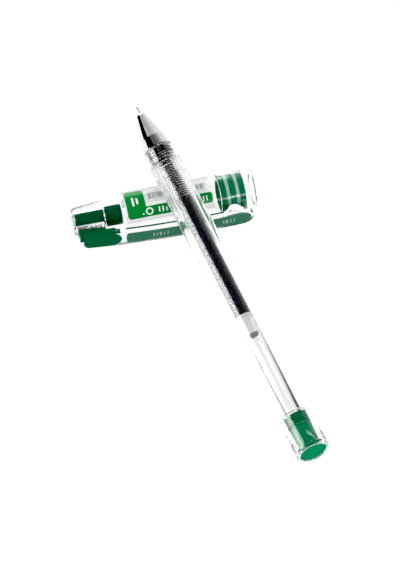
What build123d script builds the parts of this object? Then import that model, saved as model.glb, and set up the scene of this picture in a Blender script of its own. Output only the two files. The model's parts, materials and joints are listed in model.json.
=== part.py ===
from build123d import *
import os
from math import asin, cos, degrees, radians, sin, sqrt

# A needle-tip gel pen lying across its own cap. Millimetres, +Z up, floor at Z = 0.
# The cap lies along X with its mouth towards +X and its clip towards -Y.
# The pen lies on the cap: its tip points towards +Y and its tail meets the floor.
# Outlines are drawn as (radius, distance). On the pen the distance runs along its axis
# from the tail face, and on the cap from the closed end.

os.makedirs("parts", exist_ok=True)

# Pen, outside
pen_length = 140.0
needle_out = 3.0
cone_length = 15.1
collar_length = 3.3
collar_radius = 5.1
grip_radius = 5.3
body_radius = 5.02
tail_radius = 5.55
tail_shoulder_radius = 5.38
grip_rear = 86.0
body_front = 66.0
groove_count = 18
groove_pitch = 0.9
groove_radius = 0.28
groove_inset = 2.7

# Pen, inside
bore_radius = 3.3
plug_bore_radius = 4.0
plug_length = 14.0
tube_radius = 2.7
tube_bore = 1.95
tube_rear = 8.0
tube_front = 117.0
ink_rear = 54.2
grease_rear = 46.5
needle_radius = 0.34
ball_radius = 0.25

# Screw thread between the cone and the barrel, right-handed
thread_pitch = 1.0
thread_core = 3.85
thread_height = 0.4
thread_rear = 117.7
thread_turns = 3.5
thread_clearance = 0.1

# Cap
cap_length = 60.0
cap_radius = 6.75
cap_bore = 5.85
cap_end_radius = 4.6
cap_step = 10.4
cap_step_radius = 5.6
cap_full = 21.0
socket_bore = 2.8
sleeve_bore = 5.65
sleeve_rear = 48.4
sleeve_length = 8.2
rib_count = 3
rib_width = 2.0
label_start = 17.0
label_length = 29.0
label_film = 0.06
label_from = 19.5
label_sweep = 195.0

# Clip
clip_width = 6.0
clip_thickness = 1.9
clip_tip = 57.9
clip_start = 11.7
prow_tip = 14.0
root_start = 2.1
root_underside = 7.3
tab_width = 2.6
tab_start = 1.0
tab_end = 9.8
stripe_width = 4.5
stripe_start = 15.6
stripe_depth = 0.35
clip_gap = 0.15

# How the two lie together
yaw = radians(10.5)
cross_from_tip = 30.0
cross_on_cap = 33.75
resting_gap = 0.12

# Places along the pen
cone_front = pen_length - needle_out
barrel_front = cone_front - cone_length
collar_rear = barrel_front - collar_length
first_groove = collar_rear - groove_inset

# The pen is level with the floor at its tail and clears the cap's label where it crosses
cap_height = cap_radius + label_film
lift = 2 * cap_height + resting_gap
tail_to_cross = pen_length - cross_from_tip
pitch = 0.0
for _ in range(8):
    rise = lift + grip_radius / cos(pitch) - tail_radius * cos(pitch)
    pitch = asin(rise / tail_to_cross)

pen_dir = Vector(-sin(yaw) * cos(pitch), cos(yaw) * cos(pitch), sin(pitch))
pen_right = Vector(cos(yaw), sin(yaw), 0)

# The origin is under the middle of the whole arrangement
reach_front = cross_from_tip * pen_dir.Y
reach_back = tail_to_cross * pen_dir.Y + tail_radius * sqrt(1 - pen_dir.Y**2)
cross = Vector(
    cross_on_cap - cap_length / 2,
    (reach_back - reach_front) / 2,
    lift + grip_radius / cos(pitch),
)
pen_tail = cross - pen_dir * tail_to_cross
pen_section = Plane(origin=pen_tail, x_dir=pen_right, z_dir=pen_right.cross(pen_dir))
pen_axis = Axis(pen_tail, pen_dir)

cap_end = Vector(-cap_length / 2, cross.Y, cap_height)
cap_section = Plane(origin=cap_end, x_dir=(0, 0, 1), z_dir=(0, 1, 0))
cap_axis = Axis(cap_end, (1, 0, 0))
clip_side = Plane(origin=cap_end, x_dir=(1, 0, 0), z_dir=(0, 0, -1))
clip_face = Plane(origin=cap_end, x_dir=(1, 0, 0), z_dir=(0, -1, 0))


def across_pen(distance):
    """The plane square to the pen's axis, at a distance from the tail face."""
    return Plane(origin=pen_tail + pen_dir * distance, x_dir=pen_right, z_dir=pen_dir)


def across_cap(distance):
    """The plane square to the cap's axis, with its own X up and its Y towards -Y."""
    return Plane(origin=cap_end + Vector(distance, 0, 0), x_dir=(0, 0, 1), z_dir=(1, 0, 0))


def coil_section(path, distance):
    """The plane square to a helix at its start, with its X pointing out from the axis."""
    start = path.line @ 0
    centre = pen_tail + pen_dir * distance
    return Plane(origin=start, x_dir=start - centre, z_dir=path.line % 0)


def finish(builder, name):
    """Labels a finished piece and writes it."""
    builder.part.label = name
    export_step(builder.part, f"parts/{name}.step")


# ---------------------------------------------------------------- barrel
groove_mouth_width = 0.75
ridge_foot_width = 0.5
with BuildPart() as barrel:
    with BuildSketch(pen_section):
        with BuildLine():
            Polyline(
                (plug_bore_radius + 0.6, 0),
                (tail_radius - 0.45, 0),
                (tail_radius, 0.6),
                (tail_radius, 9.0),
                (tail_shoulder_radius, 9.25),
                (tail_shoulder_radius, plug_length - 0.2),
                (body_radius, plug_length + 0.5),
                (body_radius, body_front),
            )
            Spline(
                (body_radius, body_front),
                (grip_radius, grip_rear),
                tangents=((0, 1), (0, 1)),
            )
            Polyline(
                (grip_radius, grip_rear),
                (grip_radius, collar_rear - 0.3),
                (collar_radius, collar_rear),
                (collar_radius, barrel_front - 0.5),
                (collar_radius - 0.4, barrel_front),
                (thread_core + thread_clearance, barrel_front),
                (thread_core + thread_clearance, thread_rear - 1.4),
                (bore_radius, thread_rear - 2.0),
                (bore_radius, plug_length + 0.7),
                (plug_bore_radius, plug_length),
                (plug_bore_radius, 1.8),
                (plug_bore_radius + 0.6, 1.8),
                (plug_bore_radius + 0.6, 0),
            )
        make_face()
    revolve(axis=pen_axis)
    with BuildSketch(pen_section):
        with Locations(
            [
                (grip_radius, first_groove - i * groove_pitch)
                for i in range(groove_count)
            ]
        ):
            Circle(groove_radius)
    revolve(axis=pen_axis, mode=Mode.SUBTRACT)
    groove_start = thread_rear - thread_pitch
    with BuildLine(across_pen(groove_start)) as groove_path:
        Helix(
            thread_pitch,
            barrel_front - groove_start + thread_pitch,
            thread_core + thread_clearance,
            direction=pen_dir,
        )
    with BuildSketch(coil_section(groove_path, groove_start)):
        with Locations((thread_height / 2 - 0.05, 0)):
            Trapezoid(groove_mouth_width, thread_height + 0.1, 72, rotation=-90)
    sweep(is_frenet=True, mode=Mode.SUBTRACT)
finish(barrel, "barrel")

# ---------------------------------------------------------------- tail plug
plug_ring_count = 5
plug_ring_pitch = 0.85
plug_ring_front = plug_length - 0.3
with BuildPart() as tail_plug:
    with BuildSketch(pen_section):
        Polygon(
            (0, 0.25),
            (plug_bore_radius + 0.4, 0.25),
            (plug_bore_radius + 0.6, 0.45),
            (plug_bore_radius + 0.6, 1.8),
            (plug_bore_radius - 0.15, 1.8),
            (plug_bore_radius - 0.15, 9.3),
            (plug_bore_radius - 0.5, 9.3),
            (plug_bore_radius - 0.5, plug_ring_front),
            (tube_radius + 0.25, plug_ring_front),
            (tube_radius + 0.25, 4.0),
            (0, 4.0),
            align=None,
        )
        for i in range(plug_ring_count):
            top = plug_ring_front - 0.1 - i * plug_ring_pitch
            Polygon(
                (plug_bore_radius - 0.6, top),
                (plug_bore_radius, top - 0.12),
                (plug_bore_radius, top - 0.38),
                (plug_bore_radius - 0.6, top - 0.5),
                align=None,
            )
    revolve(axis=pen_axis)
finish(tail_plug, "tail_plug")

# ---------------------------------------------------------------- nose cone
edge_from_front = 10.9
nose_hole = 0.62
with BuildPart() as nose_cone:
    with BuildSketch(pen_section):
        Polygon(
            (nose_hole, cone_front),
            (1.0, cone_front),
            (1.55, cone_front - 0.35),
            (1.85, cone_front - 0.9),
            (4.45, cone_front - edge_from_front),
            (collar_radius - 0.07, barrel_front + 0.12),
            (thread_core, barrel_front + 0.12),
            (thread_core, thread_rear - 0.3),
            (3.1, thread_rear - 0.3),
            (3.1, barrel_front + 2.0),
            (2.75, cone_front - edge_from_front),
            (1.25, cone_front - 2.6),
            (nose_hole, cone_front - 1.8),
            align=None,
        )
    revolve(axis=pen_axis)
    with BuildLine(across_pen(thread_rear)) as ridge_path:
        Helix(thread_pitch, thread_turns * thread_pitch, thread_core, direction=pen_dir)
    with BuildSketch(coil_section(ridge_path, thread_rear)):
        with Locations((thread_height / 2 - 0.05, 0)):
            Trapezoid(ridge_foot_width, thread_height + 0.1, 72, rotation=-90)
    sweep(is_frenet=True)
finish(nose_cone, "nose_cone")

# ---------------------------------------------------------------- refill
with BuildPart() as refill_tube:
    with BuildSketch(across_pen(tube_rear)):
        Circle(tube_radius)
        Circle(tube_bore, mode=Mode.SUBTRACT)
    extrude(amount=tube_front - tube_rear)
finish(refill_tube, "refill_tube")

spigot_length = 5.0
with BuildPart() as ink_column:
    with BuildSketch(across_pen(ink_rear)):
        Circle(tube_bore - 0.02)
    extrude(amount=tube_front - spigot_length - ink_rear)
finish(ink_column, "ink_column")

with BuildPart() as grease_follower:
    with BuildSketch(across_pen(grease_rear)):
        Circle(tube_bore - 0.03)
    extrude(amount=ink_rear - grease_rear)
finish(grease_follower, "grease_follower")

holder_front = tube_front + 12.0
ink_channel = 0.8
shank_radius = 0.95
shank_length = 5.0
with BuildPart() as tip_holder:
    with BuildSketch(pen_section):
        Polygon(
            (ink_channel, tube_front - spigot_length),
            (tube_bore, tube_front - spigot_length),
            (tube_bore, tube_front),
            (tube_radius, tube_front),
            (tube_radius, tube_front + 1.6),
            (1.95, tube_front + 1.9),
            (1.95, holder_front - 2.0),
            (1.5, holder_front),
            (shank_radius, holder_front),
            (shank_radius, holder_front - shank_length),
            (ink_channel, holder_front - shank_length),
            align=None,
        )
    revolve(axis=pen_axis)
finish(tip_holder, "tip_holder")

housing_front = cone_front - 0.5
pipe_length = 9.0
pipe_bore = ball_radius + 0.01
with BuildPart() as needle_housing:
    with BuildSketch(pen_section):
        Polygon(
            (0.55, holder_front - shank_length),
            (shank_radius, holder_front - shank_length),
            (shank_radius, holder_front),
            (1.2, holder_front),
            (1.2, holder_front + 0.6),
            (nose_hole - 0.07, housing_front - 0.6),
            (needle_radius + 0.1, housing_front),
            (needle_radius, housing_front),
            (needle_radius, pen_length - pipe_length),
            (0.55, pen_length - pipe_length),
            align=None,
        )
    revolve(axis=pen_axis)
finish(needle_housing, "needle_housing")

ball_centre = pen_length - ball_radius
lip = ball_centre + 0.07
with BuildPart() as needle_pipe:
    with BuildSketch(pen_section):
        Polygon(
            (pipe_bore, pen_length - pipe_length),
            (needle_radius, pen_length - pipe_length),
            (needle_radius, lip - 0.4),
            (needle_radius - 0.07, lip),
            (ball_radius - 0.008, lip),
            (pipe_bore, lip - 0.1),
            align=None,
        )
    revolve(axis=pen_axis)
finish(needle_pipe, "needle_pipe")

with BuildPart() as ball:
    with BuildSketch(pen_section):
        with BuildLine():
            ThreePointArc(
                (0, ball_centre - ball_radius),
                (ball_radius, ball_centre),
                (0, ball_centre + ball_radius),
            )
            Line((0, ball_centre + ball_radius), (0, ball_centre - ball_radius))
        make_face()
    revolve(axis=pen_axis)
finish(ball, "ball")

# A fine coil in the ink channel, with a straight leg that reaches the ball
wire_radius = 0.05
coil_radius = 0.4
coil_rear = holder_front - shank_length + 0.1
coil_height = 4.0
with BuildPart() as ball_spring:
    with BuildLine(across_pen(coil_rear)) as coil_path:
        Helix(0.5, coil_height, coil_radius, direction=pen_dir)
    with BuildSketch(coil_section(coil_path, coil_rear)):
        Circle(wire_radius)
    sweep(is_frenet=True)
    coil_top = pen_tail + pen_dir * (coil_rear + coil_height)
    with BuildSketch(
        Plane(origin=coil_top, x_dir=coil_path.line @ 1 - coil_top, z_dir=pen_dir)
    ):
        with Locations((coil_radius / 2, 0)):
            Rectangle(coil_radius, 2 * wire_radius)
    extrude(amount=wire_radius, both=True)
    with BuildSketch(across_pen(coil_rear + coil_height - wire_radius)):
        Circle(wire_radius)
    extrude(amount=ball_centre - ball_radius - coil_rear - coil_height)
finish(ball_spring, "ball_spring")

# ---------------------------------------------------------------- cap shell
counterbore = cap_radius - 0.5
with BuildPart() as cap_shell:
    with BuildSketch(cap_section):
        with BuildLine():
            Polyline(
                (cap_step_radius + 0.25, cap_step + 0.4),
                (cap_step_radius, cap_step),
                (cap_end_radius, 0.8),
                (cap_end_radius - 0.7, 0),
                (0, 0),
                (0, 0.8),
                (socket_bore, 0.8),
                (socket_bore, cap_step - 0.1),
                (cap_step_radius - 1.3, cap_step - 0.1),
                (cap_bore, cap_full),
                (cap_bore, sleeve_rear),
                (counterbore, sleeve_rear),
                (counterbore, sleeve_rear + sleeve_length),
                (cap_bore, sleeve_rear + sleeve_length),
                (cap_bore, cap_length - 0.5),
                (cap_bore + 0.25, cap_length),
                (cap_radius - 0.35, cap_length),
                (cap_radius, cap_length - 0.6),
                (cap_radius, cap_full),
            )
            Spline(
                (cap_radius, cap_full),
                (cap_step_radius + 0.25, cap_step + 0.4),
                tangents=((0, -1), (-0.16, -1)),
            )
        make_face()
    revolve(axis=cap_axis)
    with BuildSketch(clip_side):
        with Locations(((tab_start + tab_end) / 2, cap_step_radius)):
            Rectangle(tab_end - tab_start + 0.04, 2 * cap_step_radius - 2 * socket_bore)
    extrude(amount=tab_width / 2 + 0.02, both=True, mode=Mode.SUBTRACT)
finish(cap_shell, "cap_shell")

# ---------------------------------------------------------------- inner cap and its seal
cup_start = cap_step + 0.6
cup_front = 16.0
cup_radius = 3.25
seal_radius = 1.2
seal_bottom = 8.0
tip_when_capped = 10.0
nose_when_capped = tip_when_capped + needle_out
ridge_count = 12
with BuildPart() as inner_cap:
    with BuildSketch(cap_section):
        Polygon(
            (0, 0.85),
            (socket_bore - 0.05, 0.85),
            (socket_bore - 0.05, cap_step - 0.2),
            (2.2, cap_step - 0.2),
            (2.2, cup_start),
            (cup_radius - 0.15, cup_start),
            (cup_radius - 0.15, cup_front),
            (2.5, cup_front),
            (1.95, nose_when_capped + 0.9),
            (seal_radius, nose_when_capped),
            (seal_radius, seal_bottom),
            (0, seal_bottom),
            align=None,
        )
    revolve(axis=cap_axis)
    with BuildSketch(across_cap(cup_start)):
        with PolarLocations(cup_radius - 0.15, ridge_count):
            Rectangle(0.3, 0.4)
    extrude(amount=cup_front - cup_start)
finish(inner_cap, "inner_cap")

with BuildPart() as nib_seal:
    with BuildSketch(across_cap(seal_bottom)):
        Circle(seal_radius)
    extrude(amount=tip_when_capped - 0.1 - seal_bottom)
finish(nib_seal, "nib_seal")

# ---------------------------------------------------------------- mouth sleeve
rib_gap = (sleeve_length - rib_count * rib_width) / (rib_count - 1)
groove_floor = counterbore - 0.3
with BuildPart() as mouth_sleeve:
    with BuildSketch(across_cap(sleeve_rear)):
        Circle(groove_floor)
        Circle(sleeve_bore, mode=Mode.SUBTRACT)
    extrude(amount=sleeve_length)
    for i in range(rib_count):
        with BuildSketch(across_cap(sleeve_rear + i * (rib_width + rib_gap))):
            Circle(counterbore)
            Circle(sleeve_bore, mode=Mode.SUBTRACT)
        extrude(amount=rib_width)
finish(mouth_sleeve, "mouth_sleeve")

# ---------------------------------------------------------------- label
# The film starts above the clip and runs over the top and down the far side
with BuildPart() as cap_label:
    with BuildSketch(across_cap(label_start)):
        with BuildLine():
            CenterArc((0, 0), cap_radius + label_film, 90 - label_from, -label_sweep)
            CenterArc((0, 0), cap_radius, 90 - label_from, -label_sweep)
            for angle in (90 - label_from, 90 - label_from - label_sweep):
                PolarLine(
                    (cap_radius * cos(radians(angle)), cap_radius * sin(radians(angle))),
                    label_film,
                    angle,
                )
        make_face()
    extrude(amount=label_length)
finish(cap_label, "cap_label")


# ---------------------------------------------------------------- clip
def clip_outer(depth):
    """The clip's bowed outer line seen from the side, or a line that far inside it."""
    return ThreePointArc((-4, 8.15 - depth), (30, 11.0 - depth), (64, 10.35 - depth))


def clip_plan(start, end, width, tip):
    """A strip seen from outside, with a rounded end towards the cap's mouth."""
    half = width / 2
    with BuildLine() as strip:
        Polyline((end - tip, half), (start, half), (start, -half), (end - tip, -half))
        EllipticalCenterArc((end - tip, 0), tip, half, start_angle=-90, arc_size=180)
    return strip


def prow(offset):
    """The blunt point of the green block, or the notch that far round it."""
    half = clip_width / 2
    with BuildLine() as point:
        Line((root_start, half + 1), (clip_start + offset, half + 1))
        Line((clip_start + offset, half + 1), (clip_start + offset, half))
        Spline(
            (clip_start + offset, half),
            (prow_tip + offset, 0),
            (clip_start + offset, -half),
            tangents=((0.35, -1), (-0.35, -1)),
        )
        Line((clip_start + offset, -half), (clip_start + offset, -half - 1))
        Line((clip_start + offset, -half - 1), (root_start, -half - 1))
        Line((root_start, -half - 1), (root_start, half + 1))
    return point


with BuildPart() as clip_stripe:
    with BuildSketch(clip_side):
        with BuildLine():
            top = clip_outer(0)
            bottom = clip_outer(stripe_depth)
            Line(top @ 0, bottom @ 0)
            Line(top @ 1, bottom @ 1)
        make_face()
    extrude(amount=stripe_width / 2, both=True)
    with BuildSketch(clip_face):
        add(clip_plan(stripe_start, clip_tip - 1.0, stripe_width, 3.2).line)
        make_face()
    extrude(amount=20, mode=Mode.INTERSECT)
finish(clip_stripe, "clip_stripe")

grip_bump = cap_radius + 0.2
with BuildPart() as clip_arm:
    with BuildSketch(clip_side):
        with BuildLine():
            top = clip_outer(0)
            bottom = clip_outer(clip_thickness)
            Line(top @ 0, bottom @ 0)
            Line(top @ 1, bottom @ 1)
        make_face()
        Polygon(
            (46.0, 9.6),
            (50.8, grip_bump),
            (52.8, grip_bump),
            (57.5, 9.6),
            align=None,
        )
    extrude(amount=clip_width / 2, both=True)
    with BuildSketch(clip_face):
        add(clip_plan(clip_start, clip_tip, clip_width, 3.8).line)
        make_face()
        with BuildSketch(mode=Mode.PRIVATE) as notch:
            add(prow(clip_gap).line)
            make_face()
        add(notch.sketch, mode=Mode.SUBTRACT)
    extrude(amount=20, mode=Mode.INTERSECT)
    add(clip_stripe.part, mode=Mode.SUBTRACT)
finish(clip_arm, "clip_arm")

with BuildPart() as clip_root:
    with BuildSketch(clip_side):
        with BuildLine():
            top = clip_outer(0)
            Polyline(top @ 0, (-4, root_underside), (64, root_underside), top @ 1)
        make_face()
    extrude(amount=clip_width / 2, both=True)
    with BuildSketch(clip_face):
        add(prow(0).line)
        make_face()
    extrude(amount=20, mode=Mode.INTERSECT)
    fillet(clip_root.edges().filter_by(Axis.Z).group_by(Axis.X)[0].sort_by(Axis.Y)[0], 1.4)
    with BuildSketch(clip_side):
        with Locations(((tab_start + tab_end) / 2, (socket_bore + root_underside) / 2)):
            Rectangle(tab_end - tab_start, root_underside - socket_bore)
    extrude(amount=tab_width / 2, both=True)
finish(clip_root, "clip_root")

joint_places = {
    "refill_slide along": pen_dir,
    "cone_turn at": pen_tail + pen_dir * barrel_front,
    "ball_roll at": pen_tail + pen_dir * ball_centre,
    "ball_roll about": pen_right,
    "clip_flex at": cap_end + Vector(clip_start + clip_gap, -(clip_outer(0) @ 0.25).Y, 0),
    "cap axis from": cap_end,
    "tail collar middle": pen_tail + pen_dir * 4.8,
}
for name, place in joint_places.items():
    print(name, [round(value, 6) for value in place])
print("pitch", degrees(pitch))
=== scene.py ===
import json
import math

import bmesh
import bpy
from mathutils import Matrix, Vector


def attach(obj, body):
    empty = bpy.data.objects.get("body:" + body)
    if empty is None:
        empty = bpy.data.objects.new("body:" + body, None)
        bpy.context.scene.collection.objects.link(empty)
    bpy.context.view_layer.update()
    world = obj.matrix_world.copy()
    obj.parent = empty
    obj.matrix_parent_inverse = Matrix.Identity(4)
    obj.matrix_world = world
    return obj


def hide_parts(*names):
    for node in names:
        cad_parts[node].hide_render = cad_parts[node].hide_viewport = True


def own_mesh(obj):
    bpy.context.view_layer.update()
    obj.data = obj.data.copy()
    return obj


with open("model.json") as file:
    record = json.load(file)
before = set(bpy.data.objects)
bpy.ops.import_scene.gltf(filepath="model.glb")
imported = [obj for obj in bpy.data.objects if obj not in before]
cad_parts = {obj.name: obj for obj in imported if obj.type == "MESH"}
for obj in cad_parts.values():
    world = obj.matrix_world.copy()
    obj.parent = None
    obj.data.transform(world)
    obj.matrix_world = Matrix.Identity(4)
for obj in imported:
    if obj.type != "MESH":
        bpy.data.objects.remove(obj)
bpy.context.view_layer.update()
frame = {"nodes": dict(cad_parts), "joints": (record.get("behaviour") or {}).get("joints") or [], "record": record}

# A needle-tip gel pen lying across its own clear cap. Outlines are in millimetres, as
# (radius, distance): on the pen the distance runs from the tail face to the tip, and on
# the cap from its closed end to its mouth.
MM = 0.001
joints = {joint["name"]: joint for joint in frame["joints"]}
mounts = {mount["name"]: mount for mount in frame["record"]["mounts"]}


# ------------------------------------------------------------------ places
class Line:
    """A long axis, with places found by distance along it and radius and turn about it."""

    def __init__(self, start, along, side):
        self.start, self.along, self.side = start, along, side
        self.over = side.cross(along)

    def at(self, distance, radius=0.0, turn=0.0):
        out = self.side * math.cos(turn) + self.over * math.sin(turn)
        return self.start + (self.along * distance + out * radius) * MM

    def offset(self, distance, out=0.0, across=0.0):
        """A place given by its distance, how far out to the side and how far over."""
        place = self.along * distance + self.side * out + self.over * across
        return self.start + place * MM

    def matrix(self, distance=0.0):
        """Carries a mesh made in millimetres about Z onto the line."""
        turn = Matrix((self.side, self.along.cross(self.side), self.along)).transposed()
        return (
            Matrix.Translation(self.at(distance)) @ turn.to_4x4() @ Matrix.Scale(MM, 4)
        )


up = Vector((0, 0, 1))
BARREL_FRONT = 121.9
pen_dir = Vector(joints["cone_turn"]["axis"]).normalized()
pen = Line(
    Vector(joints["cone_turn"]["pos_m"]) - pen_dir * BARREL_FRONT * MM,
    pen_dir,
    pen_dir.cross(up).normalized(),
)
MOUTH_AT = 52.5
cap_dir = Vector(mounts["cap_mouth"]["axis"])
cap = Line(
    Vector(mounts["cap_mouth"]["pos_m"]) - cap_dir * MOUTH_AT * MM,
    cap_dir,
    Vector((0, -1, 0)),
)


SLEEVE_REAR, BAND_PITCH, BAND_WIDTH = 48.4, 3.1, 1.98
BAND_MIDDLE = SLEEVE_REAR + 1.0


# ------------------------------------------------------------------ finishes
class Amount:
    """A shader socket that sums can be written with."""

    def __init__(self, finish, socket):
        self.finish, self.socket = finish, socket

    def sum(self, operation, *others, first=None):
        values = [self, *others] if first is None else [first, self]
        return self.finish.node("ShaderNodeMath", {"operation": operation}, values)

    def __add__(self, other):
        return self.sum("ADD", other)

    def __sub__(self, other):
        return self.sum("SUBTRACT", other)

    def __rsub__(self, other):
        return self.sum("SUBTRACT", first=other)

    def __mul__(self, other):
        return self.sum("MULTIPLY", other)

    def __truediv__(self, other):
        return self.sum("DIVIDE", other)

    def __abs__(self):
        return self.sum("ABSOLUTE")

    def above(self, other):
        return self.sum("MAXIMUM", other)

    def below(self, other):
        return self.sum("MINIMUM", other)

    def root(self):
        return self.sum("SQRT")

    def remainder(self, other):
        return self.sum("FLOORED_MODULO", other)

    def held(self):
        """Kept between 0 and 1."""
        return self.above(0.0).below(1.0)

    __radd__ = __add__
    __rmul__ = __mul__


class Finish:
    """One material, made of nodes."""

    def __init__(self, name):
        self.material = bpy.data.materials.new(name)
        self.material.use_nodes = True
        self.tree = self.material.node_tree
        self.tree.nodes.clear()

    def node(self, kind, settings=None, inputs=(), output=0):
        made = self.tree.nodes.new(kind)
        for key, value in (settings or {}).items():
            setattr(made, key, value)
        pairs = inputs.items() if isinstance(inputs, dict) else enumerate(inputs)
        for key, value in pairs:
            if isinstance(value, Amount):
                self.tree.links.new(value.socket, made.inputs[key])
            else:
                made.inputs[key].default_value = value
        return Amount(self, made.outputs[output]) if len(made.outputs) else None

    def spot(self):
        return self.node("ShaderNodeTexCoord", output=3)

    def measured(self, line):
        """Millimetres along a line, and out and over from it."""
        from_start = self.node(
            "ShaderNodeVectorMath",
            {"operation": "SUBTRACT"},
            [self.spot(), tuple(line.start)],
        )
        return [
            self.node(
                "ShaderNodeVectorMath",
                {"operation": "DOT_PRODUCT"},
                [from_start, tuple(way / MM)],
                "Value",
            )
            for way in (line.along, line.side, line.over)
        ]

    def stretched(self, line, fine, long):
        """A place for grain that runs along a line, finer across than along."""
        along, out, over = self.measured(line)
        return self.node(
            "ShaderNodeCombineXYZ", None, [along * long, out * fine, over * fine]
        )

    def grain(self, scale, detail=3.0, place=None):
        settings = {"Scale": scale, "Detail": detail, "Roughness": 0.55}
        settings["Vector"] = place or self.spot()
        return self.node("ShaderNodeTexNoise", None, settings)

    def between(self, mask, low, high):
        """One colour where the mask is 0 and the other where it is 1."""
        colours = {
            key: value if isinstance(value, Amount) else (*value, 1.0)
            for key, value in (("A_Color", low), ("B_Color", high))
        }
        made = self.tree.nodes.new("ShaderNodeMix")
        made.data_type = "RGBA"
        sockets = {socket.identifier: socket for socket in made.inputs}
        for key, value in [("Factor_Float", mask), *colours.items()]:
            if isinstance(value, Amount):
                self.tree.links.new(value.socket, sockets[key])
            else:
                sockets[key].default_value = value
        found = [s for s in made.outputs if s.identifier == "Result_Color"]
        return Amount(self, found[0])

    def bump(self, height, depth, strength=0.3):
        return self.node(
            "ShaderNodeBump", None, {"Strength": strength, "Distance": depth, "Height": height}
        )

    def surface(self, **inputs):
        """The shader itself: its sockets are named with _ for a space."""
        named = {}
        for key, value in inputs.items():
            if isinstance(value, tuple):
                value = (*value, 1.0)
            named[key.replace("_", " ")] = value
        shader = self.node("ShaderNodeBsdfPrincipled", None, named)
        self.node("ShaderNodeOutputMaterial", None, {"Surface": shader})
        return self


GREEN_GLOSS = 0.03


def clear_plastic(name, low, high, rough, index):
    made = Finish(name)
    flow = made.grain(140.0, 2.0)
    scuff = made.grain(900.0, 3.0)
    return made.surface(
        Base_Color=made.between(flow, low, high),
        Roughness=rough + scuff * 0.03,
        IOR=index,
        Transmission_Weight=1.0,
        Normal=made.bump(flow, 0.00002, 0.15),
    )


def moulded_plastic(name, low, high, rough, line):
    """Solid coloured plastic, with faint flow along its length and fine scuffs."""
    made = Finish(name)
    flow = made.grain(1.0, 3.0, made.stretched(line, 0.9, 0.12))
    scuff = made.grain(1500.0, 4.0)
    return made.surface(
        Base_Color=made.between(flow, low, high),
        Roughness=rough + scuff * 0.12,
        IOR=1.5,
        Specular_IOR_Level=GREEN_GLOSS,
        Normal=made.bump(scuff, 0.00001, 0.2),
    )


def metal(name, low, high, rough, line, lines, painted_shade_from=None):
    """Turned metal: fine rings about the line, and a little wear in its gloss. Behind a given distance, where it
    sits inside the barrel's collar, it is painted near black as painted shade."""
    made = Finish(name)
    rings = made.grain(1.0, 4.0, made.stretched(line, 0.25, lines))
    wear = made.grain(700.0, 4.0)
    colour = made.between(wear, low, high)
    # Painted shade: the part inside the barrel's collar is painted near black.
    if painted_shade_from:
        behind = (painted_shade_from - made.measured(line)[0]).held()
        colour = made.between(behind, colour, (0.05, 0.05, 0.055))
    return made.surface(
        Base_Color=colour,
        Roughness=rough + rings * rough * 0.8,
        Metallic=1.0,
        Normal=made.bump(rings, 0.000004, 0.12),
    )


def sleeve_finish():
    """Green bands, with painted highlight in the gaps between them: pale gaps that turn green low down."""
    made = Finish("green_sleeve")
    along, out, over = made.measured(cap)
    flow = made.grain(1.0, 3.0, made.stretched(cap, 0.9, 0.12))
    from_band = abs((along - BAND_MIDDLE).remainder(BAND_PITCH) - BAND_PITCH / 2)
    on_band = ((from_band - (BAND_PITCH - BAND_WIDTH) / 2) / 0.1 + 0.5).held()
    # Painted highlight: the gaps between the bands are pale, fading to green low down.
    low_down = (0.5 - over * 0.25).held()
    painted_gap_highlight = made.between(low_down, (0.55, 0.8, 0.66), (0.05, 0.42, 0.22))
    green = made.between(flow, (0.0, 0.25, 0.11), (0.0, 0.33, 0.15))
    return made.surface(
        Base_Color=made.between(on_band, painted_gap_highlight, green),
        Roughness=0.12 + flow * 0.08,
        IOR=1.5,
        Specular_IOR_Level=0.15,
    )


def ink_finish():
    made = Finish("gel_ink")
    streaks = made.grain(1.0, 4.0, made.stretched(pen, 2.2, 0.05))
    return made.surface(
        Base_Color=made.between(streaks, (0.003, 0.004, 0.01), (0.012, 0.013, 0.03)),
        Roughness=0.1 + streaks * 0.1,
        IOR=1.6,
    )


def grease_finish():
    made = Finish("grease")
    cloud = made.grain(900.0, 4.0)
    return made.surface(
        Base_Color=made.between(cloud, (0.93, 0.93, 0.94), (0.99, 0.99, 1.0)),
        Roughness=0.08 + cloud * 0.1,
        IOR=1.46,
        Transmission_Weight=0.85,
    )


def natural_plastic():
    """Thin clear plastic that shows the dark ink inside it."""
    made = Finish("natural_plastic")
    cloud = made.grain(500.0, 3.0)
    return made.surface(
        Base_Color=made.between(cloud, (0.02, 0.021, 0.03), (0.07, 0.072, 0.09)),
        Roughness=0.3 + cloud * 0.1,
        IOR=1.5,
    )


def rubber():
    made = Finish("seal_rubber")
    cloud = made.grain(1200.0, 5.0)
    return made.surface(
        Base_Color=made.between(cloud, (0.6, 0.6, 0.58), (0.74, 0.74, 0.72)),
        Roughness=0.6 + cloud * 0.2,
        Normal=made.bump(cloud, 0.00002, 0.3),
    )


def patch(x, y, middle, half, corner, blur=0.08):
    """1 inside a rectangle with rounded corners, and 0 outside."""
    beyond_x = (abs(x - middle[0]) - (half[0] - corner)).above(0.0)
    beyond_y = (abs(y - middle[1]) - (half[1] - corner)).above(0.0)
    away = (beyond_x * beyond_x + beyond_y * beyond_y).root() - corner
    return (0.5 - away / blur).held()


def union(masks):
    whole = masks[0]
    for mask in masks[1:]:
        whole = whole.above(mask)
    return whole


LABEL_GREEN_LOW, LABEL_GREEN_HIGH = (0.0, 0.27, 0.045), (0.005, 0.33, 0.065)
LABEL_RADIUS = 6.81


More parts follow.
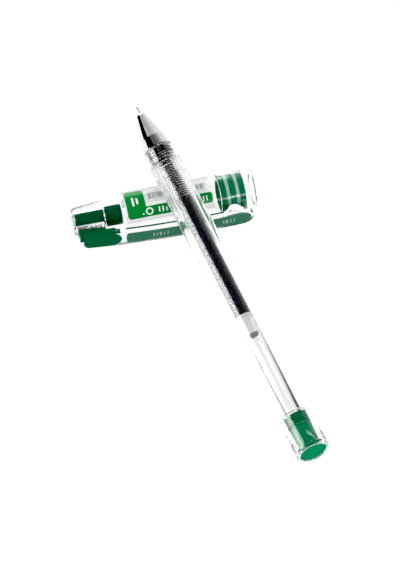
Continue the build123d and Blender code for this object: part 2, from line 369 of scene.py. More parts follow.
def label_finish():
    """Clear film with pale ground, green panels, a plain ring and plain bars."""
    made = Finish("printed_film")
    along, out, over = made.measured(cap)
    turn = made.node("ShaderNodeMath", {"operation": "ARCTAN2"}, [over, out])
    around = turn * LABEL_RADIUS

    def arc(degrees):
        return math.radians(degrees) * LABEL_RADIUS

    def panel(x0, x1, low, high, corner):
        middle = ((x0 + x1) / 2, (arc(low) + arc(high)) / 2)
        half = ((x1 - x0) / 2, (arc(high) - arc(low)) / 2)
        return patch(along, around, middle, half, corner)

    green = union(
        [
            panel(17.4, 23.7, 30, 119, 1.2),
            panel(19.5, 41.0, 30.5, 59.5, 0.9),
            panel(34.0, 45.6, 37, 66.5, 0.9),
        ]
    )
    ring_x, ring_y = along - 24.6, around - arc(45)
    ring_away = (ring_x * ring_x + ring_y * ring_y).root()
    marks = [(0.5 - (abs(ring_away - 1.0) - 0.24) / 0.08).held()]
    for x0, x1, low, high in (
        (22.2, 22.8, 38, 42),
        (19.4, 20.1, 66, 92),
        (20.8, 21.5, 70, 88),
        (27.6, 28.1, 38, 53),
        (28.8, 29.3, 38, 53),
        (30.0, 30.5, 38, 49),
        (42.4, 42.8, 44, 58),
        (43.5, 43.9, 44, 58),
    ):
        marks.append(panel(x0, x1, low, high, 0.15))
    white = union(marks)
    bars = []
    for start, widths in ((25.2, (3, 1, 2, 1, 1, 3, 2)), (40.6, (1, 2, 1, 3, 1))):
        place = start
        for width in widths:
            bars.append(panel(place, place + width * 0.17, 79, 98, 0.02))
            place += width * 0.17 + 0.38
    black = union(bars)
    speck = made.grain(2500.0, 3.0)
    ground = made.between(speck, (0.86, 0.9, 0.87), (0.95, 0.97, 0.95))
    coloured = made.between(
        green, ground, made.between(speck, LABEL_GREEN_LOW, LABEL_GREEN_HIGH)
    )
    coloured = made.between(white, coloured, (0.93, 0.95, 0.93))
    coloured = made.between(black, coloured, (0.03, 0.035, 0.035))
    return made.surface(
        Base_Color=coloured,
        Alpha=(0.3 + green * 0.68 + white + black * 0.6).held(),
        Roughness=0.2 + speck * 0.15,
        IOR=1.48,
        Normal=made.bump(speck, 0.000004, 0.1),
    )


def stripe_finish():
    """Green inlay with a few plain pale strokes along it."""
    made = Finish("green_inlay")
    along, out, over = made.measured(cap)
    flow = made.grain(1.0, 3.0, made.stretched(cap, 0.9, 0.12))
    strokes = [
        patch(along, over, (x, -0.1), (half, 0.85), 0.12)
        for x, half in (
            (24.6, 0.2), (25.7, 0.2), (26.8, 0.35), (28.1, 0.2), (29.2, 0.2),
            (47.6, 0.2), (48.7, 0.35), (50.0, 0.2), (51.1, 0.2),
        )
    ]
    return made.surface(
        Base_Color=made.between(
            union(strokes) * 0.75,
            made.between(flow, (0.0, 0.235, 0.105), (0.0, 0.30, 0.145)),
            (0.62, 0.82, 0.72),
        ),
        Roughness=0.14 + flow * 0.08,
        IOR=1.5,
        Specular_IOR_Level=GREEN_GLOSS,
    )


finishes = {
    "clear_plastic": clear_plastic(
        "clear_plastic", (0.985, 0.99, 0.99), (1.0, 1.0, 1.0), 0.0, 1.49
    ),
    "refill_plastic": clear_plastic(
        "refill_plastic", (0.97, 0.975, 0.98), (0.99, 0.995, 1.0), 0.02, 1.5
    ),
    "green_cap": moulded_plastic(
        "green_cap", (0.0, 0.1, 0.047), (0.0, 0.155, 0.072), 0.1, cap
    ),
    "green_plug": moulded_plastic(
        "green_plug", (0.0, 0.22, 0.095), (0.0, 0.29, 0.13), 0.1, pen
    ),
    "chrome": metal(
        "chrome", (0.78, 0.79, 0.81), (0.86, 0.87, 0.88), 0.03, pen, 6.0, BARREL_FRONT + 0.1
    ),
    "steel": metal("steel", (0.5, 0.5, 0.5), (0.66, 0.66, 0.65), 0.16, pen, 9.0),
    "ink": ink_finish(),
    "grease": grease_finish(),
    "natural_plastic": natural_plastic(),
    "rubber": rubber(),
    "sleeve": sleeve_finish(),
    "label": label_finish(),
    "stripe": stripe_finish(),
}


# ------------------------------------------------------------------ shapes
EDGE_ANGLE = 35.0  # degrees between two faces that makes their edge a sharp one


def as_object(name, mesh, finish):
    mesh.materials.clear()
    mesh.materials.append(finishes[finish].material)
    made = bpy.data.objects.new(name, mesh)
    bpy.context.scene.collection.objects.link(made)
    return made


def tidied(shape, name, finish, sharp=EDGE_ANGLE):
    """Merges doubles, turns every face outwards and shades it smooth between edges."""
    bmesh.ops.remove_doubles(shape, verts=shape.verts, dist=1e-7)
    bmesh.ops.recalc_face_normals(shape, faces=shape.faces)
    mesh = bpy.data.meshes.new(name)
    shape.to_mesh(mesh)
    shape.free()
    mesh.shade_smooth()
    mesh.set_sharp_from_angle(angle=math.radians(sharp))
    return as_object(name, mesh, finish)


def softened(outline, reach, closed=True, steps=3):
    """Rounds each corner of an outline."""
    points = [Vector(point) for point in outline]
    made = []
    for i, corner in enumerate(points):
        before, after = points[i - 1] - corner, points[(i + 1) % len(points)] - corner
        at_end = not closed and i in (0, len(points) - 1)
        if at_end or before.angle(after, math.pi) > math.radians(172):
            made.append(corner)
            continue
        start = corner + before.normalized() * min(reach, before.length * 0.4)
        end = corner + after.normalized() * min(reach, after.length * 0.4)
        for step in range(steps + 1):
            t = step / steps
            made.append(start * (1 - t) ** 2 + corner * 2 * t * (1 - t) + end * t * t)
    return [tuple(point) for point in made]


def eased(start, end, slope_start=0.0, steps=14):
    """A smooth run between two (radius, distance) points, with its slope at the start."""
    length = end[1] - start[1]
    made = []
    for step in range(1, steps):
        t = step / steps
        radius = (
            start[0] * (2 * t**3 - 3 * t**2 + 1)
            + slope_start * length * (t**3 - 2 * t**2 + t)
            + end[0] * (3 * t**2 - 2 * t**3)
        )
        made.append((radius, start[1] + t * length))
    return made


def turned(name, line, outline, finish, ring=128, rule=None, sharp=EDGE_ANGLE):
    """A closed solid of revolution. An outline that starts off the axis closes on itself.
    rule(radius, distance, turn) gives what is added to the radius."""
    shape = bmesh.new()
    rows = []
    for radius, distance in outline:
        if radius < 1e-6:
            rows.append([shape.verts.new(line.at(distance))] * ring)
            continue
        row = []
        for i in range(ring):
            turn = 2 * math.pi * i / ring
            added = rule(radius, distance, turn) if rule else 0.0
            row.append(shape.verts.new(line.at(distance, radius + added, turn)))
        rows.append(row)
    if outline[0][0] > 1e-6:
        rows.append(rows[0])
    for lower, upper in zip(rows, rows[1:]):
        for i in range(ring):
            j = (i + 1) % ring
            corners = []
            for corner in (lower[i], lower[j], upper[j], upper[i]):
                if corner not in corners:
                    corners.append(corner)
            if len(corners) > 2:
                shape.faces.new(corners)
    return tidied(shape, name, finish, sharp)


def joined(name, pieces, finish):
    """One mesh of several closed ones."""
    whole = bmesh.new()
    for piece in pieces:
        whole.from_mesh(piece.data)
        mesh = piece.data
        bpy.data.objects.remove(piece)
        bpy.data.meshes.remove(mesh)
    mesh = bpy.data.meshes.new(name)
    whole.to_mesh(mesh)
    whole.free()
    mesh.shade_smooth()
    mesh.set_sharp_from_angle(angle=math.radians(EDGE_ANGLE))
    return as_object(name, mesh, finish)


def settled(piece):
    """Turns a piece's modifiers into plain mesh."""
    bpy.context.view_layer.update()
    evaluated = piece.evaluated_get(bpy.context.evaluated_depsgraph_get())
    mesh = bpy.data.meshes.new_from_object(evaluated)
    piece.modifiers.clear()
    piece.data = mesh
    return piece


def with_soft_edges(piece, width, segments=3):
    bevel = piece.modifiers.new("soft edges", "BEVEL")
    bevel.width, bevel.segments = width * MM, segments
    bevel.limit_method, bevel.angle_limit = "ANGLE", math.radians(EDGE_ANGLE)
    bevel.harden_normals = False
    settled(piece)
    piece.data.shade_smooth()
    piece.data.set_sharp_from_angle(angle=math.radians(30))
    return piece


def plate(name, line, start, end, top, bottom, half_width, finish, columns=14, rows=60):
    """A strip that lies beside the line. start and end give its distance at each width
    from -1 to 1, and top and bottom how far out it is at each distance and width."""
    shape = bmesh.new()
    layers = []
    for face in (top, bottom):
        grid = []
        for row in range(rows + 1):
            along = row / rows
            cells = []
            for column in range(columns + 1):
                share = math.sin(math.pi * (column / columns - 0.5))
                distance = start(share) * (1 - along) + end(share) * along
                out = face(distance, share)
                place = line.offset(distance, out, share * half_width)
                cells.append(shape.verts.new(place))
            grid.append(cells)
        layers.append(grid)
    for grid in layers:
        for row in range(rows):
            for column in range(columns):
                shape.faces.new(
                    (
                        grid[row][column],
                        grid[row][column + 1],
                        grid[row + 1][column + 1],
                        grid[row + 1][column],
                    )
                )
    edge = [(row, 0) for row in range(rows + 1)]
    edge += [(rows, column) for column in range(1, columns + 1)]
    edge += [(row, columns) for row in range(rows - 1, -1, -1)]
    edge += [(0, column) for column in range(columns - 1, 0, -1)]
    upper, lower = layers
    for (a, b), (c, d) in zip(edge, edge[1:] + edge[:1]):
        shape.faces.new((upper[a][b], upper[c][d], lower[c][d], lower[a][b]))
    return tidied(shape, name, finish)


# ------------------------------------------------------------------ what repeats
class Growth:
    """A Geometry Nodes tree with named sizes, grown into a plain mesh."""

    def __init__(self, name, sizes):
        self.tree = bpy.data.node_groups.new(name, "GeometryNodeTree")
        face = self.tree.interface
        face.new_socket("Geometry", in_out="OUTPUT", socket_type="NodeSocketGeometry")
        self.sizes = {}
        for label, value in sizes.items():
            kind = "NodeSocketInt" if isinstance(value, int) else "NodeSocketFloat"
            socket = face.new_socket(label, in_out="INPUT", socket_type=kind)
            self.sizes[label] = (socket.identifier, value)
        self.given = self.tree.nodes.new("NodeGroupInput")

    def size(self, label):
        return self.given.outputs[label]

    def node(self, kind, settings=None, inputs=(), output=0):
        made = self.tree.nodes.new(kind)
        for key, value in (settings or {}).items():
            setattr(made, key, value)
        pairs = inputs.items() if isinstance(inputs, dict) else enumerate(inputs)
        for key, value in pairs:
            if isinstance(value, bpy.types.NodeSocket):
                self.tree.links.new(value, made.inputs[key])
            else:
                made.inputs[key].default_value = value
        return made.outputs[output]

    def maths(self, operation, first, second):
        return self.node("ShaderNodeMath", {"operation": operation}, [first, second])

    def grown(self, name, instances, finish, place):
        solid = self.node("GeometryNodeRealizeInstances", None, [instances])
        faced = self.node(
            "GeometryNodeSetMaterial",
            None,
            {"Geometry": solid, "Material": finishes[finish].material},
        )
        last = self.tree.nodes.new("NodeGroupOutput")
        self.tree.links.new(faced, last.inputs[0])
        holder = bpy.data.objects.new(name, bpy.data.meshes.new(name))
        bpy.context.scene.collection.objects.link(holder)
        modifier = holder.modifiers.new(name, "NODES")
        modifier.node_group = self.tree
        for identifier, value in self.sizes.values():
            modifier[identifier] = value
        settled(holder)
        shape = bmesh.new()
        shape.from_mesh(holder.data)
        shape.transform(place)
        bpy.data.objects.remove(holder)
        return tidied(shape, name, finish)


def ring_stack(name, count, pitch, inner, outer, width, finish, place, corner=0.12):
    """Rings in a row along a line, each with rounded edges."""
    growth = Growth(
        name,
        {
            "Count": count,
            "Pitch": pitch,
            "Inner Radius": inner,
            "Outer Radius": outer,
            "Width": width,
            "Corner": corner,
        },
    )
    inner, outer = growth.size("Inner Radius"), growth.size("Outer Radius")
    middle = growth.maths("MULTIPLY", growth.maths("ADD", inner, outer), 0.5)
    depth = growth.maths("SUBTRACT", outer, inner)
    path = growth.node(
        "GeometryNodeCurvePrimitiveCircle", None, {"Resolution": 128, "Radius": middle}
    )
    section = growth.node(
        "GeometryNodeCurvePrimitiveQuadrilateral",
        None,
        {"Width": growth.size("Width"), "Height": depth},
    )
    section = growth.node(
        "GeometryNodeFilletCurve",
        {"mode": "POLY"},
        {"Curve": section, "Count": 3, "Radius": growth.size("Corner")},
    )
    turned_section = growth.node(
        "GeometryNodeTransform",
        None,
        {"Geometry": section, "Rotation": (0.0, 0.0, math.pi / 2)},
    )
    ring = growth.node(
        "GeometryNodeCurveToMesh",
        None,
        {"Curve": path, "Profile Curve": turned_section, "Fill Caps": False},
    )
    step = growth.node("ShaderNodeCombineXYZ", None, {"Z": growth.size("Pitch")})
    places = growth.node(
        "GeometryNodeMeshLine", None, {"Count": growth.size("Count"), "Offset": step}
    )
    rings = growth.node(
        "GeometryNodeInstanceOnPoints", None, {"Points": places, "Instance": ring}
    )
    return growth.grown(name, rings, finish, place)


def ridge_ring(name, count, radius, ridge, finish, place):
    """Straight ridges set round a line: ridge is (depth, width, length)."""
    growth = Growth(
        name,
        {
            "Count": count,
            "Radius": radius,
            "Depth": ridge[0],
            "Width": ridge[1],
            "Length": ridge[2],
        },
    )
    size = growth.node(
        "ShaderNodeCombineXYZ",
        None,
        [growth.size("Depth"), growth.size("Width"), growth.size("Length")],
    )
    block = growth.node("GeometryNodeMeshCube", None, {"Size": size})
    circle = growth.node(
        "GeometryNodeMeshCircle",
        None,
        {"Vertices": growth.size("Count"), "Radius": growth.size("Radius")},
    )
    facing = growth.node(
        "FunctionNodeAlignRotationToVector",
        {"axis": "X"},
        {"Vector": growth.node("GeometryNodeInputPosition")},
    )
    ridges = growth.node(
        "GeometryNodeInstanceOnPoints",
        None,
        {"Points": circle, "Instance": block, "Rotation": facing},
    )
    return growth.grown(name, ridges, finish, place)


# ------------------------------------------------------------------ the pen
GRIP_RADIUS, BODY_RADIUS, TAIL_RADIUS = 5.3, 5.02, 5.55
GROOVE_RADIUS, GROOVE_PITCH, GROOVE_COUNT, FIRST_GROOVE = 0.28, 0.9, 18, 115.9
THREAD_PITCH, THREAD_HEIGHT, THREAD_REAR, THREAD_LENGTH = 1.0, 0.4, 117.7, 3.5


def thread_height(distance, turn, rear, length, half_foot):
    """How far a right-handed ridge stands up at a place."""
    phase = (distance - rear) / THREAD_PITCH + turn / (2 * math.pi)
    from_middle = abs(phase - round(phase)) * THREAD_PITCH
    flank = max(0.0, min(1.0, (half_foot - from_middle) / 0.13))
    run_in = max(0.0, min(1.0, (distance - rear) / 0.3, (rear + length - distance) / 0.3))
    return THREAD_HEIGHT * flank * run_in


def grooves():
    made = []
    for i in range(GROOVE_COUNT - 1, -1, -1):
        middle = FIRST_GROOVE - i * GROOVE_PITCH
        for step in range(9):
            angle = math.pi * step / 8
            made.append(
                (
                    GRIP_RADIUS - GROOVE_RADIUS * math.sin(angle) * 0.97,
                    middle - GROOVE_RADIUS * math.cos(angle) * 1.08,
                )
            )
    return made


def stretch(radius, first, last, step):
    count = round(abs(last - first) / step)
    return [(radius, first + (last - first) * i / count) for i in range(count + 1)]


BORE, PLUG_BORE, THREAD_BORE = 3.3, 4.0, 3.95
barrel_outline = (
    softened(
        [
            (4.62, 0.0), (5.1, 0.0), (TAIL_RADIUS, 0.6), (TAIL_RADIUS, 9.0),
            (5.38, 9.25), (5.38, 13.8), (BODY_RADIUS, 14.5), (BODY_RADIUS, 16.0),
        ],
        0.2,
        closed=False,
    )
    + stretch(BODY_RADIUS, 18.0, 66.0, 4.0)
    + eased((BODY_RADIUS, 66.0), (GRIP_RADIUS, 86.0))
    + stretch(GRIP_RADIUS, 86.0, 98.0, 4.0)
    + grooves()
    + softened(
        [
            (GRIP_RADIUS, 117.0), (GRIP_RADIUS, 118.3), (5.1, 118.6), (5.1, 121.4),
            (4.7, BARREL_FRONT), (THREAD_BORE, BARREL_FRONT),
        ],
        0.15,
        closed=False,
    )
    + stretch(THREAD_BORE, BARREL_FRONT - 0.1, 116.3, 0.1)
    + [(BORE, 115.7)]
    + stretch(BORE, 110.0, 20.0, 6.0)
    + softened(
        [(BORE, 16.0), (BORE, 14.7), (PLUG_BORE, 14.0), (PLUG_BORE, 1.8), (4.62, 1.8)],
        0.1,
        closed=False,
    )
)


def barrel_thread(radius, distance, turn):
    if abs(radius - THREAD_BORE) > 0.001:
        return 0.0
    return thread_height(distance, turn, THREAD_REAR - 1, 6.5, 0.4)


barrel = turned("barrel_body", pen, barrel_outline, "clear_plastic", rule=barrel_thread)
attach(barrel, "barrel")
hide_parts("barrel")

plug_body = turned(
    "plug_core",
    pen,
    [(0.0, 0.25)]
    + softened(
        [
            (0.3, 0.25), (4.58, 0.25), (4.58, 1.78), (3.85, 1.78), (3.85, 9.3),
            (3.5, 9.3), (3.5, 13.7), (2.95, 13.7), (2.95, 4.0), (0.3, 4.0),
        ],
        0.14,
        closed=False,
    )
    + [(0.0, 4.0)],
    "green_plug",
)
plug_rings = ring_stack(
    "plug_rings", 5, 0.85, 3.3, 3.985, 0.5, "green_plug", pen.matrix(9.95), 0.11
)
plug = joined("plug_body", [plug_body, plug_rings], "green_plug")
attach(plug, "barrel")
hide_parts("tail_plug")

CONE_FRONT, CONE_STUB = 137.0, 3.85


def cone_thread(radius, distance, turn):
    if radius != CONE_STUB:
        return 0.0
    return thread_height(distance, turn, THREAD_REAR, THREAD_LENGTH, 0.25)


cone = turned(
    "cone_body",
    pen,
    softened(
        [
            (0.62, CONE_FRONT), (1.0, CONE_FRONT), (1.55, 136.65), (1.85, 136.1),
            (1.902, 135.9), (4.398, 126.3), (4.45, 126.1), (4.464, 126.0),
            (5.016, 122.12), (5.03, 122.02), (CONE_STUB + 0.05, 122.02),
        ],
        0.07,
        closed=False,
    )
    + stretch(CONE_STUB, 121.9, 117.5, 0.1)
    + [
        (3.75, 117.4), (3.1, 117.4), (3.1, 123.9), (2.75, 126.1), (1.25, 134.4),
        (0.62, 135.2),
    ],
    "chrome",
    rule=cone_thread,
    sharp=4.0,
)
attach(cone, "nose_cone")
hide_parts("nose_cone")

TUBE_RADIUS, TUBE_BORE, INK_REAR, INK_FRONT = 2.7, 1.95, 54.2, 112.0
tube = turned(
    "refill_wall",
    pen,
    softened(
        [(TUBE_BORE, 8.0), (TUBE_RADIUS, 8.0), (TUBE_RADIUS, 117.0), (TUBE_BORE, 117.0)],
        0.08,
    ),
    "refill_plastic",
)
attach(tube, "refill")
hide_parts("refill_tube")

# The ink wets the wall, so it reaches a hair into it. INK_KEPT is the share of its length
# that is left when the grease has gone all the way forward.
WETTED, INK_KEPT = TUBE_BORE + 0.012, 0.0102
ink = turned(
    "ink_gel",
    pen,
    [(0.0, INK_REAR), (WETTED, INK_REAR)]
    + stretch(WETTED, INK_REAR + 2, INK_FRONT - 2, 4.0)
    + [(WETTED, INK_FRONT), (0.0, INK_FRONT)],
    "ink",
)
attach(ink, "refill")
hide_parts("ink_column")
tuple(pen.at(INK_FRONT))
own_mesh(ink)

GREASE_REAR = 46.5
grease = turned(
    "grease_plug",
    pen,
    [
        (0.0, INK_REAR - 0.05), (WETTED, INK_REAR - 0.05), (WETTED, GREASE_REAR),
        (1.6, GREASE_REAR + 0.25),
        (1.0, GREASE_REAR + 0.5), (0.0, GREASE_REAR + 0.65),
    ],
    "grease",
)
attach(grease, "grease")
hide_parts("grease_follower")

for node, finish in {
    "tip_holder": "natural_plastic",
    "needle_housing": "steel",
    "needle_pipe": "steel",
    "ball": "steel",
    "ball_spring": "steel",
    "nib_seal": "rubber",
}.items():
    materials = frame["nodes"][node].data.materials
    materials.clear()
    materials.append(finishes[finish].material)

# ------------------------------------------------------------------ the cap
CAP_RADIUS, CAP_BORE, CAP_LENGTH, STEP_AT = 6.75, 5.85, 60.0, 10.4
SLEEVE_LENGTH, SLEEVE_OUTER = 8.2, 6.25
cap_outline = (
    [(0.0, 0.0)]
    + softened(
        [(0.5, 0.0), (3.9, 0.0), (4.6, 0.8), (5.6, STEP_AT), (5.85, STEP_AT + 0.4)],
        0.35,
        closed=False,
    )
    + eased((5.85, STEP_AT + 0.4), (CAP_RADIUS, 21.0), slope_start=0.16)
    + stretch(CAP_RADIUS, 21.0, 57.0, 4.0)
    + softened(
        [
            (CAP_RADIUS, 58.0), (CAP_RADIUS, 59.4), (6.4, CAP_LENGTH), (6.1, CAP_LENGTH),
            (CAP_BORE, 59.5), (CAP_BORE, 56.6), (SLEEVE_OUTER, 56.6),
            (SLEEVE_OUTER, SLEEVE_REAR), (CAP_BORE, SLEEVE_REAR), (CAP_BORE, 46.0),
        ],
        0.18,
        closed=False,
    )
    + stretch(CAP_BORE, 44.0, 24.0, 4.0)
    + softened(
        [
            (CAP_BORE, 22.5), (CAP_BORE, 21.0), (4.3, 10.3), (2.8, 10.3), (2.8, 0.8),
            (0.5, 0.8),
        ],
        0.2,
        closed=False,
    )
    + [(0.0, 0.8)]
)
shell = turned("cap_body", cap, cap_outline, "clear_plastic")
TAB_START, TAB_END, TAB_WIDTH, SOCKET = 1.0, 9.8, 2.6, 2.8
slot_cutter = plate(
    "slot_cutter",
    cap,
    lambda share: TAB_START - 0.02,
    lambda share: TAB_END + 0.02,
    lambda distance, share: 8.0,
    lambda distance, share: SOCKET - 0.3,
    TAB_WIDTH / 2 + 0.02,
    "green_cap",
    columns=2,
    rows=2,
)
cut = shell.modifiers.new("slot", "BOOLEAN")
cut.operation, cut.object, cut.solver = "DIFFERENCE", slot_cutter, "EXACT"
settled(shell)
bpy.data.objects.remove(slot_cutter)
shell.data.materials.clear()
shell.data.materials.append(finishes["clear_plastic"].material)
shell.data.shade_smooth()
shell.data.set_sharp_from_angle(angle=math.radians(EDGE_ANGLE))
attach(shell, "cap")
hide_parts("cap_shell")

inner_core = turned(
    "inner_core",
    cap,
    [(0.0, 0.85)]
    + softened(
        [
            (0.3, 0.85), (2.75, 0.85), (2.75, 10.2), (2.2, 10.2), (2.2, 11.0),
            (3.1, 11.0), (3.1, 16.0), (2.5, 16.0), (1.95, 13.9), (1.2, 13.0),
            (1.2, 8.0), (0.3, 8.0),
        ],
        0.14,
        closed=False,
    )
    + [(0.0, 8.0)],
    "green_cap",
)
inner_ridges = ridge_ring(
    "inner_ridges", 12, 3.1, (0.3, 0.4, 4.96), "green_cap", cap.matrix(13.5)
)
inner = joined("inner_cap_body", [inner_core, inner_ridges], "green_cap")
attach(inner, "cap")
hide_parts("inner_cap")

sleeve_floor = ring_stack(
    "sleeve_floor", 1, 1.0, 5.65, 5.95, SLEEVE_LENGTH, "sleeve",
    cap.matrix(SLEEVE_REAR + SLEEVE_LENGTH / 2), 0.08,
)
sleeve_bands = ring_stack(
    "sleeve_bands", 3, BAND_PITCH, 5.66, SLEEVE_OUTER - 0.015, BAND_WIDTH, "sleeve",
    cap.matrix(BAND_MIDDLE), 0.2,
)
sleeve = joined("sleeve_body", [sleeve_floor, sleeve_bands], "sleeve")
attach(sleeve, "cap")
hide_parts("mouth_sleeve")

LABEL_START, LABEL_LENGTH, LABEL_FROM, LABEL_SWEEP = 17.0, 29.0, 19.5, 195.0
label_shape = bmesh.new()
label_rows = []
for i in range(97):
    turn = math.radians(LABEL_FROM + LABEL_SWEEP * i / 96)
    label_rows.append(
        [
            label_shape.verts.new(cap.at(distance, radius, turn))
            for distance, radius in (
                (LABEL_START, CAP_RADIUS + 0.004),
                (LABEL_START + LABEL_LENGTH, CAP_RADIUS + 0.004),
                (LABEL_START + LABEL_LENGTH, LABEL_RADIUS),
                (LABEL_START, LABEL_RADIUS),
            )
        ]
    )
for low, high in zip(label_rows, label_rows[1:]):
    for i in range(4):
        label_shape.faces.new((low[i], low[(i + 1) % 4], high[(i + 1) % 4], high[i]))
label_shape.faces.new(label_rows[0])
label_shape.faces.new(label_rows[-1])
label = tidied(label_shape, "label_film", "label")
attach(label, "cap")
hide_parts("cap_label")


# ------------------------------------------------------------------ the clip
def through(a, b, c):
    """How far out an arc through three (distance, out) points is at a distance."""
    (ax, ay), (bx, by), (cx, cy) = a, b, c
    d = 2 * (ax * (by - cy) + bx * (cy - ay) + cx * (ay - by))
    sa, sb, sc = ax * ax + ay * ay, bx * bx + by * by, cx * cx + cy * cy
    x = (sa * (by - cy) + sb * (cy - ay) + sc * (ay - by)) / d
    y = (sa * (cx - bx) + sb * (ax - cx) + sc * (bx - ax)) / d
    reach = math.hypot(ax - x, ay - y)
    return lambda distance, depth: y + math.sqrt((reach - depth) ** 2 - (distance - x) ** 2)


clip_line = through((-4, 8.15), (30, 11.0), (64, 10.35))
CLIP_HALF, CLIP_THICK, CLIP_START, CLIP_TIP, PROW_TIP = 3.0, 1.9, 11.7, 57.9, 14.0
CLIP_GAP, ROOT_START, ROOT_UNDER = 0.15, 2.1, 7.3


def prow(share):
    """How far the green block's blunt point reaches, at a width from -1 to 1."""
    return CLIP_START + (PROW_TIP - CLIP_START) * (1 - share * share) ** 0.75


def rounded_tip(tip, length):
    return lambda share: tip - length + length * math.sqrt(max(0.0, 1 - share * share))


def clip_under(distance, share):
    under = clip_line(distance, CLIP_THICK)
    for near, far, rise in ((48.6, 51.2, 1), (52.4, 55.0, -1)):
        if near <= distance <= far:
            part = (distance - near) / (far - near)
            part = part if rise > 0 else 1 - part
            return under - (under - 6.95) * (3 * part**2 - 2 * part**3)
    return 6.95 if 51.2 < distance < 52.4 else under


clip_body = plate(
    "clip_body",
    cap,
    lambda share: prow(share) + CLIP_GAP,
    rounded_tip(CLIP_TIP, 3.8),
    lambda distance, share: clip_line(distance, 0.0),
    clip_under,
    CLIP_HALF,
    "clear_plastic",
    columns=24,
    rows=90,
)
STRIPE_HALF, STRIPE_START, STRIPE_DEPTH = 2.25, 15.6, 0.35
with_soft_edges(clip_body, 0.32)
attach(clip_body, "clip")
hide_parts("clip_arm")

stripe = plate(
    "clip_inlay",
    cap,
    lambda share: STRIPE_START + 0.9 * (1 - math.sqrt(max(0.0, 1 - share * share))),
    rounded_tip(CLIP_TIP - 1.0, 3.2),
    lambda distance, share: clip_line(distance, 0.0) - 0.004,
    lambda distance, share: clip_line(distance, STRIPE_DEPTH),
    STRIPE_HALF,
    "stripe",
    columns=16,
    rows=60,
)
with_soft_edges(stripe, 0.08, 2)
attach(stripe, "clip")
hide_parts("clip_stripe")


def root_top(distance, share):
    """The block's outer face, with its rear corner rounded."""
    corner = 1.4
    inset = max(0.0, corner - (distance - ROOT_START))
    return clip_line(distance, 0.0) - (corner - math.sqrt(corner**2 - inset**2))


root_block = plate(
    "root_block",
    cap,
    lambda share: ROOT_START,
    prow,
    root_top,
    lambda distance, share: ROOT_UNDER,
    CLIP_HALF,
    "green_cap",
    columns=20,
    rows=40,
)
with_soft_edges(root_block, 0.22)
root_tab = plate(
    "root_tab",
    cap,
    lambda share: TAB_START,
    lambda share: TAB_END,
    lambda distance, share: ROOT_UNDER + 0.3,
    lambda distance, share: SOCKET + 0.02,
    TAB_WIDTH / 2,
    "green_cap",
    columns=2,
    rows=2,
)
root = joined("clip_block", [root_block, root_tab], "green_cap")
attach(root, "cap")
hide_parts("clip_root")

# ------------------------------------------------------------------ studio
# How white the room is where a ray goes straight away from the camera, and how dim where
# it goes back towards it: the share of the way at each end, then the strength there.
DIM_FRONT = (-0.25, 0.45, 0.85, 0.07)
FRONT_THROUGH_PLASTIC = 0.22  # added in front for rays that come out of clear plastic
BLACK_LEVEL = 0.035
FLOOR_HALF, FLOOR_DROP, FLOOR_TONE, FLOOR_GLOW = 3.0, 0.00005, 0.16, 0.95
CARD_TONE, CARD_BLACK = 0.95, 0.01
scene = bpy.context.scene
scene.view_settings.view_transform = "Standard"
scene.view_settings.use_curve_mapping = True
scene.view_settings.curve_mapping.black_level = (BLACK_LEVEL,) * 3
scene.view_settings.curve_mapping.update()
scene.cycles.max_bounces = 32
scene.cycles.transmission_bounces = 32
scene.cycles.glossy_bounces = 32
scene.cycles.transparent_max_bounces = 24


def plain(name, colour, glow=0.0):
    made = Finish(name)
    tone = made.between(made.grain(6.0), colour, tuple(c * 0.985 for c in colour))
    inputs = {"Base_Color": tone, "Roughness": 0.9, "Specular_IOR_Level": 0.0}
    if glow:
        inputs["Emission_Color"] = made.between(made.grain(6.0), (0.985,) * 3, (1.0,) * 3)
        inputs["Emission_Strength"] = glow
    return made.surface(**inputs).material


floor_mesh = bpy.data.meshes.new("floor")
floor_mesh.from_pydata(
    [
        (x * FLOOR_HALF, y * FLOOR_HALF, -FLOOR_DROP)
        for x, y in ((-1, -1), (1, -1), (1, 1), (-1, 1))
    ],
    [],
    [(0, 1, 2, 3)],
)
floor_mesh.materials.append(plain("pale_floor", (FLOOR_TONE,) * 3, FLOOR_GLOW))
floor = bpy.data.objects.new("floor", floor_mesh)
scene.collection.objects.link(floor)

VIEW_AZIMUTH, VIEW_ELEVATION = math.radians(-13.58), math.radians(52.18)
VIEW_DISTANCE, VIEW_LENS, SENSOR = 3.424, 674.0, 36.0
towards_camera = Vector(
    (
        math.sin(VIEW_AZIMUTH) * math.cos(VIEW_ELEVATION),
        -math.cos(VIEW_AZIMUTH) * math.cos(VIEW_ELEVATION),
        math.sin(VIEW_ELEVATION),
    )
)
view_right = Vector((math.cos(VIEW_AZIMUTH), math.sin(VIEW_AZIMUTH), 0.0))
view_up = towards_camera.cross(view_right)
camera_data = bpy.data.cameras.new("camera")
camera_data.lens, camera_data.sensor_width = VIEW_LENS, SENSOR
camera_data.clip_start, camera_data.clip_end = 0.05, 20.0
camera = bpy.data.objects.new("camera", camera_data)
scene.collection.objects.link(camera)
aim = Vector((0.0, 0.0, 0.010)) + view_right * 0.00277 + view_up * 0.00287
camera.location = aim + towards_camera * VIEW_DISTANCE
camera.rotation_mode = "QUATERNION"
camera.rotation_quaternion = towards_camera.to_track_quat("Z", "Y")
scene.camera = camera

# The backdrop is white all round. In reflections the room in front is dim, as a studio
# is behind the lamps, and only what lies beyond the object is white. Light that falls on
# a matt face is white from everywhere.
world = bpy.data.worlds.new("studio")
scene.world = world
world.use_nodes = True
studio = world.node_tree
backdrop = studio.nodes["Background"]
backdrop.inputs["Color"].default_value = (1.0, 1.0, 1.0, 1.0)


def world_node(kind, operation=None, constants=()):
    made = studio.nodes.new(kind)
    if operation:
        made.operation = operation
    for socket, value in constants:
        made.inputs[socket].default_value = value
    return made


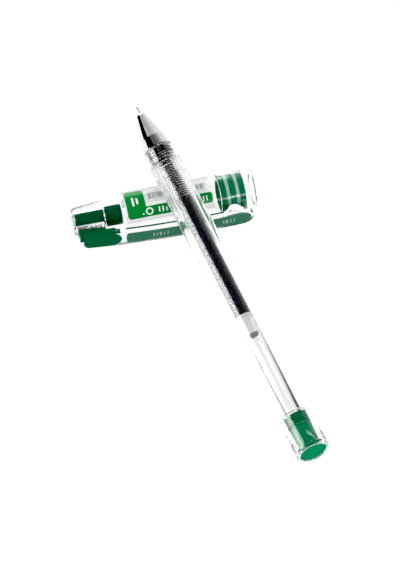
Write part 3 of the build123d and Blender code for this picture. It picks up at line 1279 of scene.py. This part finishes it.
direction = world_node("ShaderNodeTexCoord")
forward = world_node("ShaderNodeVectorMath", "DOT_PRODUCT", [(1, towards_camera)])
fall = world_node(
    "ShaderNodeMapRange",
    None,
    zip(("From Min", "From Max", "To Min", "To Max"), DIM_FRONT),
)
fall.interpolation_type = "SMOOTHSTEP"
seen = world_node("ShaderNodeLightPath")
clear_path = world_node("ShaderNodeMath", "MAXIMUM")
never_spread = world_node("ShaderNodeMath", "LESS_THAN", [(1, 0.5)])
both = world_node("ShaderNodeMath", "MULTIPLY")
front = world_node(
    "ShaderNodeMath", "MULTIPLY_ADD", [(1, FRONT_THROUGH_PLASTIC), (2, DIM_FRONT[3])]
)
tone = world_node("ShaderNodeMix", None, [("A", 1.0)])
for start, end in (
    (direction.outputs["Generated"], forward.inputs[0]),
    (forward.outputs["Value"], fall.inputs["Value"]),
    (fall.outputs["Result"], tone.inputs["B"]),
    (seen.outputs["Is Glossy Ray"], clear_path.inputs[0]),
    (seen.outputs["Is Transmission Ray"], clear_path.inputs[1]),
    (seen.outputs["Diffuse Depth"], never_spread.inputs[0]),
    (seen.outputs["Is Transmission Ray"], front.inputs[0]),
    (front.outputs[0], fall.inputs["To Max"]),
    (clear_path.outputs[0], both.inputs[0]),
    (never_spread.outputs[0], both.inputs[1]),
    (both.outputs[0], tone.inputs["Factor"]),
    (tone.outputs["Result"], backdrop.inputs["Strength"]),
):
    studio.links.new(start, end)


def facing(place, towards, roll):
    """A matrix at a place whose -Z points towards a target."""
    back = (place - towards).normalized()
    across = roll.cross(back).normalized()
    turn = Matrix((across, back.cross(across), back)).transposed()
    return Matrix.Translation(place) @ turn.to_4x4()


def softbox(name, place, target, size, radiance):
    lamp = bpy.data.lights.new(name, "AREA")
    lamp.shape, lamp.size, lamp.size_y = "RECTANGLE", size[0], size[1]
    lamp.energy = radiance * math.pi * size[0] * size[1]
    made = bpy.data.objects.new(name, lamp)
    made.matrix_world = facing(place, target, up)
    made.visible_camera = False
    made.visible_glossy = made.visible_transmission = False
    lamp.use_shadow = False
    scene.collection.objects.link(made)
    return made


def card(name, place, target, size, glow, roll):
    """A plain card that the camera doesn't see: a black one shows only in gloss, and a lit
    one in gloss and through clear plastic."""
    half_x, half_y = size[0] / 2, size[1] / 2
    mesh = bpy.data.meshes.new(name)
    mesh.from_pydata(
        [
            (x * half_x, y * half_y, 0)
            for x, y in ((-1, -1), (1, -1), (1, 1), (-1, 1))
        ],
        [],
        [(0, 1, 2, 3)],
    )
    mesh.transform(facing(place, target, roll))
    mesh.materials.append(plain(name, (CARD_TONE if glow else CARD_BLACK,) * 3, glow))
    made = bpy.data.objects.new(name, mesh)
    scene.collection.objects.link(made)
    made.visible_camera = made.visible_shadow = made.visible_diffuse = False
    made.visible_transmission = glow > 0
    return made


def mirrored_way(line, lean, turn_from_view):
    """Where a place on a round piece looks: lean is how far its normal tips forward
    along the line, and turn_from_view how far round it is from facing the camera."""
    flat = (towards_camera - line.along * towards_camera.dot(line.along)).normalized()
    side = line.along.cross(flat)
    around = flat * math.cos(turn_from_view) + side * math.sin(turn_from_view)
    normal = around * math.cos(lean) + line.along * math.sin(lean)
    return normal * 2 * normal.dot(towards_camera) - towards_camera


tip_area, grip_area, middle_area = pen.at(130.0), pen.at(108.0), pen.at(70.0)
above = middle_area + Vector((-0.3, 0.1, 0.9))
softbox("top_softbox", above, middle_area, (0.6, 0.6), 0.6)

# Each card stands where one face of the object mirrors it: the two cone faces, the pen's
# left side, the fronts of the grip's grooves, and the cap's mouth.
for name, line, centre, lean, turn, reach, size, glow, roll in (
    ("dark_wedge", pen, pen.at(134.5), 14.6, -25, 0.036, (0.025, 0.019), 0.0, pen_dir),
    ("dark_band", pen, tip_area, 7.9, -20, 0.5, (0.36, 0.11), 0.0, pen_dir),
    ("left_light", pen, middle_area, 0.0, -28, 0.5, (0.32, 0.3), 5.0, pen_dir),
    ("rib_light", pen, grip_area, 26.0, 0, 0.5, (0.42, 0.2), 3.0, up),
    ("mouth_light", cap, cap.at(53.0), 0.0, 12, 0.1, (0.022, 0.03), 4.0, cap_dir),
):
    way = mirrored_way(line, math.radians(lean), math.radians(turn))
    card(name, centre + way * reach, centre, size, glow, roll)
